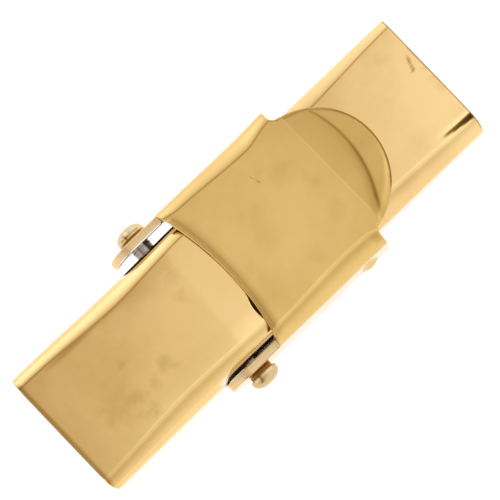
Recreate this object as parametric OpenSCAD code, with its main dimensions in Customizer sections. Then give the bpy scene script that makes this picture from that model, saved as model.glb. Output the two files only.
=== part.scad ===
// Cord clasp for a double cord watch bracelet, shown closed.
// Millimetres. X runs along the clasp from the hinge channel to the catch channel,
// Y across it, Z up. The origin is on the surface it rests on, below the middle.

/* [Cord channels] */
// Length of the whole clasp, closed
clasp_l = 24.4; // [23:0.1:26]
// Width of each channel over its walls
channel_w = 7.1; // [6.7:0.1:7.4]
// Thickness of the channel sheet
channel_t = 0.4; // [0.35:0.05:0.45]
// Height of the arched top at the middle of the clasp
arch_top = 3.2; // [3.1:0.05:3.3]
// Radius of the arch along the clasp, which follows the wrist
arch_r = 90; // [80:5:120]
// Outer radius of the long bends beside the top
top_bend_r = 0.8; // [0.6:0.1:1]
// Outer radius of the long bends at the foot of the walls
foot_bend_r = 0.55; // [0.5:0.05:0.7]
// Width of the slot between the two lips turned in below
slot_w = 4.4; // [4.2:0.1:4.8]
// Radius of the outward arc that ends the hinge channel below the lever's edge
hinge_end_r = 11; // [10:0.5:14]
// Gap between the two channels, hidden below the lever
meeting_gap = 0.7; // [0.5:0.1:1]

/* [Lever] */
// Thickness of the lever sheet
lever_t = 0.45; // [0.4:0.05:0.5]
// Room between a lever wall and the channel wall inside it
side_gap = 0.25; // [0.2:0.05:0.35]
// Height of the top of the lever plate
lever_top = 3.9; // [3.85:0.05:4]
// Height of the lower edge of the lever walls
lever_foot = 0.3; // [0.2:0.05:0.4]
// Outer radius of the bends between plate and walls
lever_bend_r = 0.8; // [0.6:0.1:1]
// X of the middle of the lever's hollow left edge
lever_left = -1.25; // [-1.35:0.05:-1.15]
// Radius of that hollow edge
lever_left_r = 14.5; // [13:0.5:18]
// X of the shoulders, where the lever walls end
shoulder_x = 5.05; // [4.9:0.05:5.2]
// Radius of the half-round thumb tongue
tongue_r = 3.62; // [3.4:0.02:3.7]
// X of the centre of that half circle
tongue_x = 4.55; // [4.4:0.05:4.6]
// X of the crease where the tongue starts to rise
crease_x = 5.64; // [5.5:0.02:5.8]
// X of the middle of the ridge where it rolls over
ridge_x = 7.1; // [6.9:0.05:7.3]
// Radius of that ridge, seen from above
ridge_r = 6.6; // [5:0.2:9]
// Angle at which the tongue rises, in degrees
rise_deg = 7; // [4:1:9]
// Angle between the rise and the lip beyond the ridge, in degrees
lip_deg = 4; // [2:1:6]

/* [Hinge] */
// X of the hinge pin
pin_x = -3.4; // [-3.5:0.05:-3.3]
// Height of the hinge pin's axis
pin_z = 1.65; // [1.6:0.05:1.7]
// Radius of the hinge pin
pin_r = 0.5; // [0.45:0.01:0.5]
// Play round the pin in the channel walls, on the radius
pin_play = 0.03; // [0.02:0.01:0.05]
// Play round the pin in the ears, on the radius
ear_play = 0.02; // [0.01:0.01:0.03]
// Radius of the round end of each ear
ear_r = 1.35; // [1.3:0.05:1.35]
// How far the centre of that round end lies beyond the pin
ear_lead = 0.25; // [0.1:0.05:0.25]
// Radius of the neck of a cap, against the ear
cap_neck_r = 0.62; // [0.54:0.02:0.66]
// Height of that neck
cap_neck_h = 0.2; // [0.14:0.02:0.24]
// Radius of the pin's domed caps
cap_r = 0.76; // [0.7:0.02:0.9]
// Height of the straight rim of a cap
cap_rim = 0.08; // [0.06:0.02:0.2]
// Height of the dome on that rim
cap_dome = 0.5; // [0.4:0.02:0.6]

/* [Catch] */
// Width of the strip that ends in the hook
hook_w = 3.8; // [3.4:0.1:4]
// Thickness of that strip
hook_t = 0.38; // [0.34:0.02:0.4]
// Play between the hook and the pin, on the radius
hook_play = 0.06; // [0.04:0.01:0.08]
// Length of the level stretch of the strip below the pin
hook_shank = 1.5; // [1.3:0.05:1.6]
// How far the hook turns round the pin, in degrees
hook_turn = 205; // [190:5:220]
// Length of the floor that joins the strip to the catch channel
floor_l = 3; // [2:0.5:5]
// X of the snap dimples
dimple_x = 3.77; // [3.5:0.05:4]
// Height of the snap dimples
dimple_z = 1.3; // [1.2:0.05:1.5]
// Radius of a dimple where it leaves the wall
dimple_r = 0.62; // [0.5:0.02:0.7]
// How far a dimple stands out of the lever wall
dimple_h = 0.18; // [0.12:0.02:0.22]
// Radius of the dent inside a dimple, and of the pip below it on the catch channel
pip_r = 0.52; // [0.44:0.02:0.6]
// How far that pip stands out of the channel wall
pip_h = 0.2; // [0.14:0.02:0.22]

/* [Hidden] */
$fn = 64;
gold = "#D9B66C";
gold_bright = "#EBC985";
steel = "#9A8B77";

half_l = clasp_l / 2;
half_w = channel_w / 2;
// Half the angle that the arch spans, with some to spare
arch_half_deg = asin((half_l + 1) / arch_r);
// Depth of the bars that the channels are cut from, more than their height
bar_deep = 6;
// Overlap that lets one solid cut or join another cleanly
over = 0.5;

// The hinge channel ends just under the lever's edge, the catch channel starts a little beyond it
hinge_tip_x = lever_left;
catch_start_x = hinge_tip_x + meeting_gap;

lever_half_w = half_w + side_gap + lever_t;
lever_in_w = half_w + side_gap;
ear_x = pin_x - ear_lead;
// The ears run on into the lever walls as far as this
ear_root_x = lever_left + over;

hook_in_r = pin_r + hook_play;
hook_out_r = hook_in_r + hook_t;
hook_bottom = pin_z - hook_out_r;
// X where the strip starts to step down to the floor, and where it arrives there
step_top_x = pin_x + hook_shank;
step_foot_x = step_top_x + hook_bottom;

// Radius of the ball whose cap is a bump of height h and radius r
function ball_r(r, h) = (r * r + h * h) / (2 * h);

// Rectangle with its two corners at high x rounded, from x = low to x = high
module round_front(low, high, half, r) {
    difference() {
        translate([low, -half]) square([high - low, 2 * half]);
        for (side = [-1, 1])
            difference() {
                translate([high - r, side > 0 ? half - r : -half - r]) square([2 * r, 2 * r]);
                translate([high - r, side * (half - r)]) circle(r);
            }
    }
}

// Solid bar under the arch, inset from the channel's outside by the given amount
module channel_bar(inset, x_from, x_to) {
    intersection() {
        translate([0, 0, arch_top - arch_r])
            rotate([90, 0, 0])
                rotate_extrude(start = 90 - arch_half_deg, angle = 2 * arch_half_deg, $fn = 720)
                    round_front(arch_r - bar_deep, arch_r - inset, half_w - inset, top_bend_r - inset);
        translate([x_from, 0, 0])
            rotate([0, 90, 0])
                linear_extrude(x_to - x_from)
                    round_front(-bar_deep, -inset, half_w - inset, foot_bend_r - inset);
    }
}

// Channel: folded sheet with an arched top, two walls and two lips, open below
module channel(x_from, x_to) {
    difference() {
        channel_bar(0, x_from, x_to);
        channel_bar(channel_t, x_from - over, x_to + over);
        translate([x_from - over, -slot_w / 2, -over])
            cube([x_to - x_from + 2 * over, slot_w, channel_t + 2 * over]);
    }
}

// Round bar of radius r across the clasp, centred on the hinge axis or another place
module cross_bar(x, z, r, half) {
    translate([x, half, z]) rotate([90, 0, 0]) cylinder(r = r, h = 2 * half);
}

// The part of a ball that stands out of a wall at y = wall, on the given side
module bump(x, z, wall, r, h, side) {
    big = ball_r(r, h);
    intersection() {
        translate([x, side * (wall + h - big), z]) sphere(big, $fn = 96);
        translate([x - r - over, side > 0 ? wall - lever_t / 2 : -wall - h - over, z - r - over])
            cube([2 * (r + over), lever_t / 2 + h + over, 2 * (r + over)]);
    }
}

module hinge_channel() {
    color(gold)
        difference() {
            intersection() {
                channel(-half_l, hinge_tip_x + over);
                translate([hinge_tip_x - hinge_end_r, 0, -over])
                    cylinder(r = hinge_end_r, h = bar_deep, $fn = 360);
            }
            cross_bar(pin_x, pin_z, pin_r + pin_play, half_w + over);
        }
}

// Side view of the strip from below the pin, down its step and along the floor
module strip_side() {
    polygon([
        [pin_x, hook_bottom],
        [step_top_x, hook_bottom],
        [step_foot_x, 0],
        [catch_start_x + floor_l, 0],
        [catch_start_x + floor_l, channel_t],
        [step_foot_x + channel_t / 2, channel_t],
        [step_top_x + hook_t / 2, hook_bottom + hook_t],
        [pin_x, hook_bottom + hook_t]
    ]);
}

module catch_channel() {
    color(gold_bright)
        union() {
            channel(catch_start_x, half_l);
            translate([0, hook_w / 2, 0]) rotate([90, 0, 0]) linear_extrude(hook_w) strip_side();
            translate([catch_start_x, -slot_w / 2 - over / 2, 0])
                cube([floor_l, slot_w + over, channel_t]);
            translate([pin_x, 0, pin_z])
                rotate([90, 0, 0])
                    rotate_extrude(start = 270 - hook_turn, angle = hook_turn)
                        translate([hook_in_r, -hook_w / 2]) square([hook_t, hook_w]);
            for (side = [-1, 1]) bump(dimple_x, dimple_z, half_w, pip_r, pip_h, side);
        }
}

// Lever plate and walls, before its ears and tongue are added
module lever_cover() {
    difference() {
        translate([lever_left - 1, 0, 0])
            rotate([0, -90, 180])
                linear_extrude(shoulder_x - lever_left + 1)
                    difference() {
                        round_front(lever_foot, lever_top, lever_half_w, lever_bend_r);
                        round_front(lever_foot - over, lever_top - lever_t, lever_in_w, lever_bend_r - lever_t);
                    }
        translate([lever_left - lever_left_r, 0, -over])
            cylinder(r = lever_left_r, h = bar_deep, $fn = 360);
    }
}

// Solid below a tongue top at the given height: level up to the crease, then rising, and cut
// beyond the ridge by a flat cone that leans with the rise
module under_tongue(top, spare) {
    far_x = tongue_x + tongue_r + over + spare;
    far_up = (far_x - crease_x) * tan(rise_deg);
    cone_r = ridge_r + 4 * over + spare;
    intersection() {
        translate([0, lever_half_w + spare, 0])
            rotate([90, 0, 0])
                linear_extrude(2 * (lever_half_w + spare))
                    polygon([
                        [crease_x - spare, lever_foot - spare],
                        [far_x, lever_foot - spare],
                        [far_x, top + far_up],
                        [crease_x, top],
                        [crease_x - spare, top]
                    ]);
        translate([crease_x, 0, top])
            rotate([0, -rise_deg, 0])
                translate([ridge_x - crease_x - ridge_r, 0, 0])
                    rotate_extrude($fn = 360)
                        polygon([
                            [0, -bar_deep],
                            [cone_r, -bar_deep],
                            [cone_r, (ridge_r - cone_r) * tan(lip_deg)],
                            [0, ridge_r * tan(lip_deg)]
                        ]);
    }
}

module tongue() {
    intersection() {
        union() {
            translate([shoulder_x - 1, -lever_half_w, lever_top - lever_t])
                cube([crease_x - shoulder_x + 1, 2 * lever_half_w, lever_t]);
            difference() {
                under_tongue(lever_top, 0);
                under_tongue(lever_top - lever_t, over);
            }
        }
        translate([tongue_x, 0, 0]) cylinder(r = tongue_r, h = bar_deep, $fn = 180);
    }
}

// Ears on both sides, each a plate with a round end beyond the pin
module ears() {
    for (side = [-1, 1])
        translate([0, side > 0 ? lever_half_w : -lever_in_w, 0])
            rotate([90, 0, 0])
                linear_extrude(lever_t) {
                    translate([ear_x, pin_z]) circle(ear_r);
                    translate([ear_x, pin_z - ear_r]) square([ear_root_x - ear_x, 2 * ear_r]);
                }
}

module lever() {
    color(gold)
        difference() {
            union() {
                lever_cover();
                tongue();
                ears();
                for (side = [-1, 1])
                    bump(dimple_x, dimple_z, lever_half_w, dimple_r, dimple_h, side);
            }
            cross_bar(pin_x, pin_z, pin_r + ear_play, lever_half_w + over);
            for (side = [-1, 1])
                bump(dimple_x, dimple_z, lever_in_w, pip_r, dimple_h, side);
        }
}

module hinge_pin() {
    color(steel) cross_bar(pin_x, pin_z, pin_r, lever_half_w);
}

// Domed cap: a neck against the ear, then an overhanging head with a straight rim and a dome
module pin_cap(side) {
    big = ball_r(cap_r, cap_dome);
    color(gold)
        translate([pin_x, side * lever_half_w, pin_z])
            rotate([-90 * side, 0, 0])
                rotate_extrude() {
                    square([cap_neck_r, cap_neck_h + cap_rim / 2]);
                    translate([0, cap_neck_h])
                        intersection() {
                            translate([0, cap_rim + cap_dome - big]) circle(big, $fn = 128);
                            square([cap_r, cap_rim + cap_dome]);
                        }
                }
}

module pin_cap_near() { pin_cap(-1); }

module pin_cap_far() { pin_cap(1); }

hinge_channel();
catch_channel();
lever();
hinge_pin();
pin_cap_near();
pin_cap_far();
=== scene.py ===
import math

import bmesh
import bpy
import numpy as np
from mathutils import Matrix, Vector
from mathutils.geometry import delaunay_2d_cdt


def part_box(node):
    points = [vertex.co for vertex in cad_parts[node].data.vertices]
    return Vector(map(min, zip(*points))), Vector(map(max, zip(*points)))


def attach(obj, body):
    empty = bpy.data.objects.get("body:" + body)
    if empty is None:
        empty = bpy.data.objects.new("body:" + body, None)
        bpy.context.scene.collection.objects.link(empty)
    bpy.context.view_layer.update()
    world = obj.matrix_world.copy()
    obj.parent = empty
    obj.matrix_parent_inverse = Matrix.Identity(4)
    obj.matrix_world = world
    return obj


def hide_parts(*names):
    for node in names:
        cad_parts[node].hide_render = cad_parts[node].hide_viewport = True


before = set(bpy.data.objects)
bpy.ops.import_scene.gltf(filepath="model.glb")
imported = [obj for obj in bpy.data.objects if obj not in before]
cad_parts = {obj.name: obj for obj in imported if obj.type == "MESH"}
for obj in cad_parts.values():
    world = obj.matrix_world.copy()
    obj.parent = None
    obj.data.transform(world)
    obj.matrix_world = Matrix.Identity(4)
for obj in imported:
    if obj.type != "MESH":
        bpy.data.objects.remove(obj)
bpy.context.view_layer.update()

# Hinge channel: the left half of the clasp, which holds one end of the double cord.
# It is one blank of gold-filled sheet, cut flat and then folded: an arched top that follows
# the wrist, two long bends, two walls, and two lips turned in below to pinch the cord.
MM = 0.001  # sizes in this script are millimetres, meshes are metres


def corners(node):
    """Lowest and highest corner of a CAD node, in millimetres."""
    return [np.array(corner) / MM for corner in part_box(node)]


hinge_low, hinge_high = corners("hinge_channel")
pin_low, pin_high = corners("hinge_pin")
PIN_X, PIN_Z = (pin_low[0] + pin_high[0]) / 2, (pin_low[2] + pin_high[2]) / 2
PIN_R = (pin_high[0] - pin_low[0]) / 2
PIN_PLAY = 0.03
CHANNEL_END = -hinge_low[0]
CHANNEL_HALF_W = hinge_high[1]
CHANNEL_SHEET = 0.4
ARCH_R = 90.0
ARCH_TOP = 3.2
CROWN = math.radians(2.2)  # how far the top has turned down where a long bend begins
FOOT_R = 0.55
SLOT_HALF_W = 2.2
LIP = CHANNEL_HALF_W - FOOT_R - SLOT_HALF_W
# Where the top, long bend, wall, foot bend and lip end, across the blank from its middle line
CHANNEL_FOLDS = np.cumsum([0, 2.8, 1.1, 1.5, 0.86, LIP])
EDGE_R = 0.06
EDGE_TURNS = np.radians([18, 36, 54, 72, 90])  # steps round a soft edge
POINT_STEP = 0.08  # distance between points on an outline
HOLE_STEPS = 48
CLEAR_OF_EDGE = 0.035  # least distance from the outline to a point within the blank
SAME_PLACE = 1e-7  # points nearer to each other than this are one point
SLIVER = 1e-6  # a triangle smaller than this only spans points along a straight edge
LOOKUPS = 400  # places tried across a blank to find the one that lies at a given height or width


def spaced(*stretches):
    """Places along a line, from (start, end, step) stretches that follow each other."""
    runs = [np.linspace(a, b, max(2, round((b - a) / step) + 1)) for a, b, step in stretches]
    return np.unique(np.concatenate(runs).round(6))


def both_sides(half):
    """Places out from a middle line, and the same ones on its other side."""
    return np.concatenate([-half[:0:-1], half])


def smooth(low, high, value):
    """0 at low, 1 at high, level beyond them, and a soft step between. High may be the smaller one."""
    t = np.clip((value - low) / (high - low), 0, 1)
    return t * t * (3 - 2 * t)


def between(start, full, fading, end, value):
    """1 from full to fading, 0 outside start and end, and a soft step on either side."""
    return smooth(start, full, value) * smooth(end, fading, value)


def through(places, values):
    """A curve that runs level through each value at its place, and softly between them."""

    def curve(x):
        steps = [
            (values[i + 1] - values[i]) * smooth(places[i], places[i + 1], x)
            for i in range(len(places) - 1)
        ]
        return values[0] + sum(steps)

    return curve


def arc(centre, r, start, end):
    """Points on an arc without its last one, angles in degrees."""
    count = max(3, round(abs(math.radians(end - start)) * r / POINT_STEP))
    angles = np.radians(start + (end - start) * np.arange(count) / count)
    return [(centre[0] + r * math.cos(a), centre[1] + r * math.sin(a)) for a in angles]


def straight(a, b):
    """Points on a straight line without its last one."""
    count = max(1, round(math.dist(a, b) / POINT_STEP))
    return [(a[0] + (b[0] - a[0]) * i / count, a[1] + (b[1] - a[1]) * i / count) for i in range(count)]


def inside(points, loop):
    """Which of the flat points lie inside a closed outline."""
    a, b = loop, np.roll(loop, -1, 0)
    x, y = points[:, :1], points[:, 1:]
    crosses = (a[:, 1] > y) != (b[:, 1] > y)
    rise = np.where(b[:, 1] == a[:, 1], 1, b[:, 1] - a[:, 1])
    hits = crosses & (x < (b[:, 0] - a[:, 0]) * (y - a[:, 1]) / rise + a[:, 0])
    return hits.sum(1) % 2 == 1


def distance(points, loop):
    """Distance from each flat point to a closed outline."""
    least = np.full(len(points), np.inf)
    for a, b in zip(loop, np.roll(loop, -1, 0)):
        along = b - a
        t = np.clip((points - a) @ along / max(along @ along, SAME_PLACE**2), 0, 1)
        least = np.minimum(least, np.linalg.norm(points - a - t[:, None] * along, axis=1))
    return least


def turned(loop, left):
    """The outline as an array that runs leftwards round its middle, or rightwards."""
    loop = np.array(loop)
    x, y = loop[:, 0], loop[:, 1]
    area = np.sum(x * np.roll(y, -1) - y * np.roll(x, -1))
    return loop if (area > 0) == left else loop[::-1]


def away(loop):
    """Unit vectors in the flat that point out of the sheet at each point of an outline."""
    along = np.roll(loop, -1, 0) - np.roll(loop, 1, 0)
    side = np.stack([along[:, 1], -along[:, 0]], 1)
    return side / np.linalg.norm(side, axis=1)[:, None]


def folded_sheet(name, outline, holes, columns, rows, skin, thickness):
    """Cuts a flat blank to its outline and holes, folds it, and gives it a thickness and soft edges.

    skin(x, s) is the outside of the folded sheet, for a place x along the blank and s across it.
    columns and rows are the x and s of the points within it. The edge face takes the piece's second
    material, and the attribute named inside runs from 0 outside the sheet to 1 on its inside."""

    def fold(flat, depth):
        x, s = flat[:, 0], flat[:, 1]
        tiny = 1e-4
        along = skin(x + tiny, s) - skin(x - tiny, s)
        normal = np.cross(along, skin(x, s + tiny) - skin(x, s - tiny))
        return skin(x, s) - normal / np.linalg.norm(normal, axis=1)[:, None] * depth

    loops = [turned(outline, True)] + [turned(hole, False) for hole in holes]
    cut = [loop - away(loop) * EDGE_R for loop in loops]
    grid = np.stack(np.meshgrid(columns, rows), -1).reshape(-1, 2)
    keep = np.ones(len(grid), bool)
    for i, loop in enumerate(cut):
        keep &= (inside(grid, loop) == (i == 0)) & (distance(grid, loop) > CLEAR_OF_EDGE)
    flat = np.concatenate(cut + [grid[keep]])

    rings, start = [], 0
    for loop in cut:
        rings.append(np.arange(start, start + len(loop)))
        start += len(loop)
    edges = [(int(a), int(b)) for ring in rings for a, b in zip(ring, np.roll(ring, -1))]
    made = delaunay_2d_cdt([Vector(p) for p in flat], edges, [], 0, SAME_PLACE)
    made_faces, made_from = made[2:4]
    source = np.array([origin[0] for origin in made_from])
    triangles = source[np.array(made_faces)]
    a, b, c = (flat[triangles[:, i]] for i in range(3))
    area = ((b - a)[:, 0] * (c - a)[:, 1] - (b - a)[:, 1] * (c - a)[:, 0]) / 2
    middles = flat[triangles].mean(1)
    kept = np.abs(area) > SLIVER
    for i, loop in enumerate(cut):
        kept &= inside(middles, loop) == (i == 0)
    triangles = np.where(area[:, None] > 0, triangles, triangles[:, ::-1])[kept]

    count = len(flat)
    places = [fold(flat, 0.0), fold(flat, thickness)]
    depths = [0.0] * count + [1.0] * count
    faces = triangles.tolist() + (triangles[:, ::-1] + count).tolist()
    slots = [0] * len(faces)
    # The rim is rounded off the outside, runs straight in as the edge face, and is rounded off again
    rounding = [(EDGE_R * math.sin(a), EDGE_R * (1 - math.cos(a))) for a in EDGE_TURNS]
    rim = rounding + [(push, thickness - depth) for push, depth in rounding[::-1]]
    total = 2 * count
    for loop, ring in zip(cut, rings):
        last = ring
        for i in range(len(rim) + 1):
            if i < len(rim):
                push, depth = rim[i]
                places.append(fold(loop + away(loop) * push, depth))
                depths += [depth / thickness] * len(loop)
                this = np.arange(total, total + len(loop))
                total += len(loop)
            else:
                this = ring + count
            quads = np.stack([last, this, np.roll(this, -1), np.roll(last, -1)], 1)
            faces += quads.tolist()
            slots += [1 if i == len(rounding) else 0] * len(loop)
            last = this

    mesh = bpy.data.meshes.new(name)
    mesh.from_pydata((np.concatenate(places) * MM).tolist(), [], faces)
    mesh.polygons.foreach_set("material_index", slots)
    mesh.polygons.foreach_set("use_smooth", [True] * len(faces))
    mesh.attributes.new("inside", "FLOAT", "POINT").data.foreach_set("value", depths)
    mesh.update()
    piece = bpy.data.objects.new(name, mesh)
    bpy.context.scene.collection.objects.link(piece)
    return piece


def channel_skin(far_r, near_r, shape, shift, spread=None, press=None):
    """Outside of a folded channel. far_r(x) and near_r(x) are the radii of its long bends on the +Y
    and -Y side, shape(x, y) lifts or lowers its top, shift(x) moves it sideways, spread(x) widens
    it, and press(x, z) pushes its walls out."""

    def skin(x, s):
        far = np.abs(s)
        part = [
            np.clip((far - a) / (b - a), 0, 1) for a, b in zip(CHANNEL_FOLDS[:-1], CHANNEL_FOLDS[1:])
        ]
        r = np.where(s > 0, far_r(x), near_r(x))
        plate = CHANNEL_HALF_W - r * (1 - math.sin(CROWN))
        if spread:
            plate = plate + spread(x)
        crown = plate * math.tan(CROWN) / 2
        top = ARCH_TOP - ARCH_R + np.sqrt(ARCH_R**2 - x**2)
        turn = CROWN + (math.pi / 2 - CROWN) * part[1]
        foot = math.pi / 2 * part[3]
        y = plate * part[0] + r * (np.sin(turn) - math.sin(CROWN))
        y -= FOOT_R * (1 - np.cos(foot)) + LIP * part[4]
        z = top - crown * part[0] ** 2 - r * (math.cos(CROWN) - np.cos(turn))
        z -= (top - crown - r * math.cos(CROWN) - FOOT_R) * part[2] + FOOT_R * np.sin(foot)
        z = z + shape(x, np.sign(s) * y) * (1 - smooth(0, 1, part[1]))
        if press:
            y = y + press(x, z) * (part[2] > 0) * (part[2] < 1)
        return np.stack([x, np.sign(s) * y + shift(x), z], 1)

    return skin


def out_at(skin, x, s):
    """How far out to the side a place s across the blank comes to lie, at x."""
    return skin(np.array([x]), np.array([s]))[0, 1]


def down(skin, x, z, start, reach, side):
    """How far out on the blank a height z on a wall lies, at x."""
    s = np.linspace(start, reach, LOOKUPS)
    found = skin(np.full(LOOKUPS, float(x)), s * side)[:, 2]
    return float(np.interp(-z, -found, s))


def pin_holes(skin, r, folds):
    """The round holes for the pin through both walls, as outlines on the blank."""
    angles = np.arange(HOLE_STEPS) * 2 * math.pi / HOLE_STEPS
    ring = [(PIN_X + r * math.cos(a), PIN_Z + r * math.sin(a)) for a in angles]
    return [
        [(x, side * down(skin, x, z, folds[1], folds[3], side)) for x, z in ring] for side in (-1, 1)
    ]


def channel_outline(left_x, right_x, corner):
    """Outline of a channel's blank, whose ends lie at left_x(s) and right_x(s)."""
    end = CHANNEL_FOLDS[-1]
    run = spaced((-end + corner, end - corner, POINT_STEP))
    near_left, near_right, far_left, far_right = left_x(-end), right_x(-end), left_x(end), right_x(end)
    points = straight((near_left + corner, -end), (near_right - corner, -end))
    points += arc((near_right - corner, -end + corner), corner, -90, 0)
    points += [(float(right_x(s)), s) for s in run]
    points += arc((far_right - corner, end - corner), corner, 0, 90)[1:]
    points += straight((far_right - corner, end), (far_left + corner, end))
    points += arc((far_left + corner, end - corner), corner, 90, 180)
    points += [(float(left_x(s)), s) for s in run[::-1]]
    points += arc((near_left + corner, -end + corner), corner, 180, 270)[1:]
    return points


def hand_work(x, y, waves):
    """Faint waves left in a sheet by hand, each (height, rate along, rate across, start)."""
    return sum(
        height * np.sin(rate_x * x + rate_y * y + start) for height, rate_x, rate_y, start in waves
    )


def rolled_end(past_end, reach, drop):
    """How far an end rolls down over its last reach, which the shears leave a little bent."""
    return -drop * np.clip(past_end + reach, 0, None) ** 1.5


COVER_EDGE_X, COVER_EDGE_R = -1.25, 14.5
INNER_END_X = -1.5  # a place close to the inner end, where a width is read
KINK_X, KINK_SKEW, KINK_SOFT = -2.92, 0.09, 0.06
KINK_DROP = math.radians(3.5)
DENT_Y, DENT_HALF_W, DENT_L = -2.08, 0.78, 0.23
HINGE_WAVES = [(0.0022, 2.1, 0.8, 0), (0.0016, -1.1, 1.3, 1)]
hinge_far_r = through([-CHANNEL_END, -5.6, -1.8], [0.7, 0.94, 0.8])
hinge_near_r = through([-CHANNEL_END, -6.2, -2.0], [0.78, 1.04, 0.9])
hinge_shift = through([-CHANNEL_END, -4.5], [-0.03, -0.12])


def cover_edge(y):
    """Where the hollow left edge of the lever's plate lies over this channel."""
    return COVER_EDGE_X - COVER_EDGE_R + np.sqrt(COVER_EDGE_R**2 - y**2)


def hinge_shape(x, y):
    """Height added to the arch: a kink where the inner end is pressed down to pass below the lever,
    a hollow and an easing beside the far bend, a rolled outer end, and hand work."""
    past_kink = (x - KINK_X - KINK_SKEW * y) / KINK_SOFT
    kink = -math.tan(KINK_DROP) * KINK_SOFT * np.logaddexp(0, past_kink)
    rolled = rolled_end(-CHANNEL_END - x, reach=0.28, drop=0.16)
    hollow = -0.011 * smooth(1.4, 3.0, y) * between(-8.0, -4.5, -3.6, -2.2, x)
    eased = -0.08 * np.clip(y - 2.5, 0, 0.3) ** 2 * between(-11.5, -9.0, -6.5, -4.5, x)
    return kink + rolled + hollow + eased + hand_work(x, y, HINGE_WAVES)


def hinge_spread(x):
    """How much the outer end is pinched open."""
    return 0.06 * (1 - smooth(-CHANNEL_END, -6, x))


hinge_skin = channel_skin(hinge_far_r, hinge_near_r, hinge_shape, hinge_shift, spread=hinge_spread)


def hinge_left(s):
    """The outer end, cut square and worn round where it passes over the near bend."""
    worn = 0.04 if s > 0 else 0.2
    return -CHANNEL_END + worn * smooth(2.9, 4.2, abs(s))


def inner_end(y):
    """The inner end, a shallow outward arc that runs on a little below the lever's edge, with one
    dent in it and a corner left longer at either side."""
    below_cover = 0.1
    dent = DENT_L * np.clip(1 - ((y - DENT_Y) / DENT_HALF_W) ** 2, 0, None)
    corner = 0.12 * smooth(2.65, 3.1, y) + 0.3 * smooth(2.75, 3.1, -y)
    return cover_edge(y) + below_cover - dent + corner


def hinge_right(s):
    """The inner end as a place on the blank."""
    reach = CHANNEL_FOLDS[2]
    return inner_end(out_at(hinge_skin, INNER_END_X, np.clip(s, -reach, reach)))


# Mesh points stand closest where the blank is bent most
channel_rows = both_sides(
    spaced((0, 2.75, 0.11), (2.75, 4.0, 0.06), (4.0, 5.35, 0.13), (5.35, 6.35, 0.09), (6.35, 7, 0.13))
)
hinge_channel = folded_sheet(
    "hinge_channel_sheet",
    channel_outline(hinge_left, hinge_right, corner=0.22),
    pin_holes(hinge_skin, PIN_R + PIN_PLAY, CHANNEL_FOLDS),
    spaced((-CHANNEL_END, -11.6, 0.07), (-11.6, -3.4, 0.13), (-3.4, -1.2, 0.08)),
    channel_rows,
    hinge_skin,
    CHANNEL_SHEET,
)


def linear(code):
    """An sRGB hex colour as the linear colour that a shader takes."""
    parts = [int(code[i : i + 2], 16) / 255 for i in (1, 3, 5)]
    return [v / 12.92 if v <= 0.04045 else ((v + 0.055) / 1.055) ** 2.4 for v in parts] + [1]


def add(tree, kind, sockets=None, **settings):
    """Adds a node. sockets maps an input's name or number to a value or to another node's output."""
    new = tree.nodes.new(kind)
    for key, value in settings.items():
        setattr(new, key, value)
    for key, value in (sockets or {}).items():
        if isinstance(value, bpy.types.NodeSocket):
            tree.links.new(value, new.inputs[key])
        else:
            new.inputs[key].default_value = value
    return new


def new_material(name):
    """A new material, its node tree and its shader."""
    material = bpy.data.materials.new(name)
    material.use_nodes = True
    return material, material.node_tree, material.node_tree.nodes["Principled BSDF"]


def grimed_and_shaded(tree, metal, grime_and_shade):
    """A metal's colour under grime and painted shade: brown where they are thin and nearly black where they
    are thick.
    """
    thin = add(tree, "ShaderNodeMapRange", {0: grime_and_shade, 1: 0, 2: 0.5}).outputs[0]
    thick = add(tree, "ShaderNodeMapRange", {0: grime_and_shade, 1: 0.5, 2: 1}).outputs[0]
    for share, colour in ((thin, linear("#9A6C1C")), (thick, linear("#2A190A"))):
        metal = add(tree, "ShaderNodeMix", {0: share, 6: metal, 7: colour}, data_type="RGBA").outputs[2]
    return metal


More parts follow.
